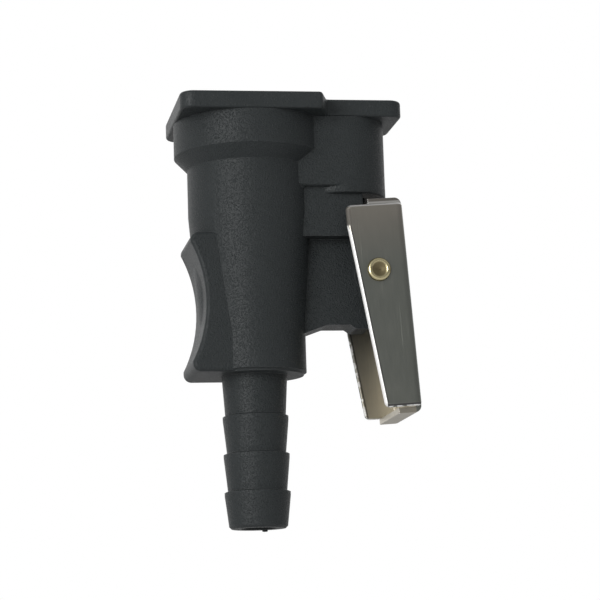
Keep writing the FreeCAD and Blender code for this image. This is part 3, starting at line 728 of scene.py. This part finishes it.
# %% Work out how far the lever's spring would shorten
WEB_CLEARANCE = 0.15 * MM
low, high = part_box("lever_spring")
pressed_lean = LEVER_LEAN + math.radians(latch_hinge["range_deg"][1])
pressed_web = latch_hinge["pos_m"][0] + WEB_INSIDE / math.cos(pressed_lean)
pressed_web += (low.z - latch_hinge["pos_m"][2]) * math.tan(pressed_lean)
room = pressed_web - WEB_CLEARANCE - low.x
shortening_coil("lever_spring", min(1.0, room / (high.x - low.x)))

# %% Work out how far the valve's spring would shorten
valve_slide = next(joint for joint in frame["joints"] if joint["name"] == "valve_slide")
low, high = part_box("valve_spring")
length = high.z - low.z
shortening_coil("valve_spring", (length - valve_slide["range_m"][1]) / length)

# %% [markdown]
# ## Starting and ending a hand-made piece
# Both pieces below start as a cylinder that is shaped in edit mode, and end with rounded
# edges. A cylinder comes selected all over, and its place is on the object, so it is
# deselected and its place is moved into the mesh, as a solid's is. Its flat ends are
# then found by the way they face.

# %% Helpers for the two pieces
END_FACING = 0.9
PIECE_SMOOTH_ANGLE = math.radians(40)


def start_cylinder(name, sides, radius, depth, place):
    """A cylinder in edit mode with nothing selected."""
    bpy.ops.object.select_all(action="DESELECT")
    bpy.ops.mesh.primitive_cylinder_add(vertices=sides, radius=radius, depth=depth, location=place)
    piece = bpy.context.object
    piece.name = name
    bpy.ops.object.transform_apply(location=True, rotation=True, scale=True)
    bpy.ops.object.mode_set(mode="EDIT")
    bpy.ops.mesh.select_all(action="DESELECT")
    return piece


def select_faces(piece, is_wanted):
    """Selects the faces whose direction passes a test."""
    mesh = bmesh.from_edit_mesh(piece.data)
    for face in mesh.faces:
        face.select_set(is_wanted(face.normal))
    bmesh.update_edit_mesh(piece.data)


def round_edges(piece, width, segments):
    """Leaves edit mode and bevels the sharp edges for good."""
    bpy.ops.object.mode_set(mode="OBJECT")
    rounding = piece.modifiers.new("rounded_edges", "BEVEL")
    rounding.width = width
    rounding.segments = segments
    bpy.ops.object.modifier_apply(modifier=rounding.name)
    bpy.ops.object.shade_smooth_by_angle(angle=PIECE_SMOOTH_ANGLE)
    print(piece.name, "faces:", len(piece.data.polygons))


# %% [markdown]
# ## The gate stub
# The plastic was fed in at the end of the hose tail. Breaking the body off its runner
# left a small torn stub on the end's ring. It could be sculpted, but it is a millimetre
# wide, and a short cylinder does: its free end is narrowed and drawn out, then hollowed
# a little to one side, and its edges are rounded.

# %% Model the gate stub
STUB_RADIUS = 0.50 * MM
STUB_HEIGHT = 0.32 * MM
STUB_SUNK = 0.10 * MM
STUB_PLACE = Vector((1.7, 3.9)) * MM
STUB_SIDES = 20
STUB_SHOULDER = STUB_RADIUS * 0.35
STUB_DROP = STUB_HEIGHT * 0.25
STUB_RIM = STUB_RADIUS * 0.25
STUB_HOLLOW = STUB_HEIGHT * 0.2
STUB_LEAN = STUB_RADIUS * 0.2
STUB_ROUNDING = STUB_RADIUS * 0.12
stub_middle = cad_low.z + STUB_SUNK - STUB_HEIGHT / 2
gate_stub = start_cylinder(
    "gate_stub", STUB_SIDES, STUB_RADIUS, STUB_HEIGHT, (STUB_PLACE.x, STUB_PLACE.y, stub_middle))
select_faces(gate_stub, lambda facing: facing.z < -END_FACING)
bpy.ops.mesh.inset(thickness=STUB_SHOULDER)
bpy.ops.transform.translate(value=(0, 0, -STUB_DROP))
bpy.ops.mesh.inset(thickness=STUB_RIM)
bpy.ops.transform.translate(value=(0, -STUB_LEAN, STUB_HOLLOW))
round_edges(gate_stub, STUB_ROUNDING, segments=2)
gate_stub.data.materials.append(body_nylon)
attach(gate_stub, "housing")

# %% [markdown]
# ## The boss's lower ring
# Under the guide boss the wall runs on a little as a plain ring, which covers the
# lever's hook from above. A tube could be cut by a boolean, which leaves long thin faces.
# Instead both ends of a cylinder are inset to the bore's size and the two inner faces
# are bridged, which leaves a closed ring with an even wall. A bevel takes the sharpness
# off its foot.

# %% Model the lower ring
BOSS_RADIUS = 7.915 * MM
BORE_RADIUS = 4.2 * MM
RING_TOP = -14.9 * MM
RING_FOOT = -17.0 * MM
RING_SIDES = 144
RING_ROUNDING = 0.3 * MM
guide_bore = next(mount for mount in frame["record"]["mounts"] if mount["name"] == "guide_bore")
ring_middle = (RING_TOP + RING_FOOT) / 2
boss_ring = start_cylinder(
    "boss_ring", RING_SIDES, BOSS_RADIUS, RING_TOP - RING_FOOT, (guide_bore["pos_m"][0], 0, ring_middle))
select_faces(boss_ring, lambda facing: abs(facing.z) > END_FACING)
bpy.ops.mesh.inset(thickness=BOSS_RADIUS - BORE_RADIUS, use_individual=True)
bpy.ops.mesh.bridge_edge_loops()
bpy.ops.mesh.select_all(action="SELECT")
bpy.ops.mesh.normals_make_consistent(inside=False)
round_edges(boss_ring, RING_ROUNDING, segments=3)
boss_ring.data.materials.append(body_nylon)
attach(boss_ring, "housing")

# %% [markdown]
# ## The floor
# The photograph looks up at the part against plain white, so the floor lies well below
# it. The eye sees it nearly white, but so white a floor would throw too much light up on
# the black plastic, so it is greyer for every ray that doesn't come from the camera.

# %% Lay the floor
FLOOR_DROP = 50 * MM
FLOOR_SIZE = 6.0
FLOOR_GREY = (0.60, 0.60, 0.60, 1.0)
FLOOR_WHITE = (0.92, 0.92, 0.92, 1.0)
FLOOR_MATT = 0.9
FLOOR_SHEEN = 0.1
bpy.ops.object.select_all(action="DESELECT")
bpy.ops.mesh.primitive_plane_add(size=FLOOR_SIZE, location=(0, 0, cad_low.z - FLOOR_DROP))
floor = bpy.context.object
floor.name = "floor"
floor_finish = Finish("floor_white")
to_camera = floor_finish.node("ShaderNodeLightPath").out("Is Camera Ray")
floor_finish.set(
    Base_Color=floor_finish.blend(to_camera, FLOOR_GREY, FLOOR_WHITE),
    Roughness=FLOOR_MATT,
    Specular_IOR_Level=FLOOR_SHEEN,
)
floor.data.materials.append(floor_finish.material)
floor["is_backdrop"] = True
print("floor at mm:", round(floor.location.z / MM, 1))

# %% [markdown]
# ## The room's light
# Black plastic and bare steel show their shape by what they mirror, so the world is
# written by what a ray is for. The camera sees plain white. A mirrored ray finds a white
# sweep behind the part and a dim room on the camera's side, which is darkest below. All
# other light is even. Real walls and cards could do this, but here each level is a number.

# %% Light the world
ROOM_LEVEL = 0.70
DIM_BELOW = 0.15
DIM_ABOVE = 0.34
DIM_TURNS = 0.45
SWEEP_FROM, SWEEP_FULL = 0.20, 0.95
world = bpy.data.worlds.new("surround")
world.use_nodes = True
bpy.context.scene.world = world
pen = Pen(world.node_tree)
ray = pen.node("ShaderNodeLightPath")
seen = ray.out("Is Camera Ray")
mirrored = pen.maths("MAXIMUM", ray.out("Is Glossy Ray"), ray.out("Is Transmission Ray"))
direction = pen.split(pen.node("ShaderNodeTexCoord").out("Generated"))
sweep = pen.rise(direction.out("Y"), SWEEP_FROM, SWEEP_FULL)
dim = DIM_BELOW + pen.rise(direction.out("Z"), 0.0, DIM_TURNS) * (DIM_ABOVE - DIM_BELOW)
level = seen + mirrored * (dim + sweep * (1.0 - dim)) + (1.0 - seen - mirrored) * ROOM_LEVEL
background = world.node_tree.nodes["Background"]
background.inputs["Color"].default_value = (1.0, 1.0, 1.0, 1.0)
pen.feed(background.inputs["Strength"], level)
print("world nodes:", len(world.node_tree.nodes))

# %% [markdown]
# ## The lamp
# One soft lamp at the left draws the band of light down the barrel. A sun or a spot
# would give it a hard edge, and a larger lamp would wash it out.

# %% Hang the key lamp
KEY_PLACE = Vector((-0.43, -0.48, 0.06))
KEY_SIZE = 0.30
KEY_WATTS = 2.45
bpy.ops.object.light_add(type="AREA", location=KEY_PLACE)
key = bpy.context.object
key.name = "key"
key.data.size = KEY_SIZE
key.data.energy = KEY_WATTS
key.rotation_euler = (AIM - KEY_PLACE).to_track_quat("-Z", "Y").to_euler()
print("key lamp watts:", round(key.data.energy, 2))

# %% [markdown]
# ## Colour, size and a last measure
# The Standard view shows a colour about as it is written, which a softer view wouldn't.
# The dressed scene's box is measured again and printed, to be set beside the solids'
# own box from the start.

# %% Colour management
bpy.context.scene.view_settings.view_transform = "Standard"
print("view:", bpy.context.scene.view_settings.view_transform)

# %% Measure and finish
low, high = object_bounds()
print("dressed box in mm:", [round(size / MM, 1) for size in high - low])
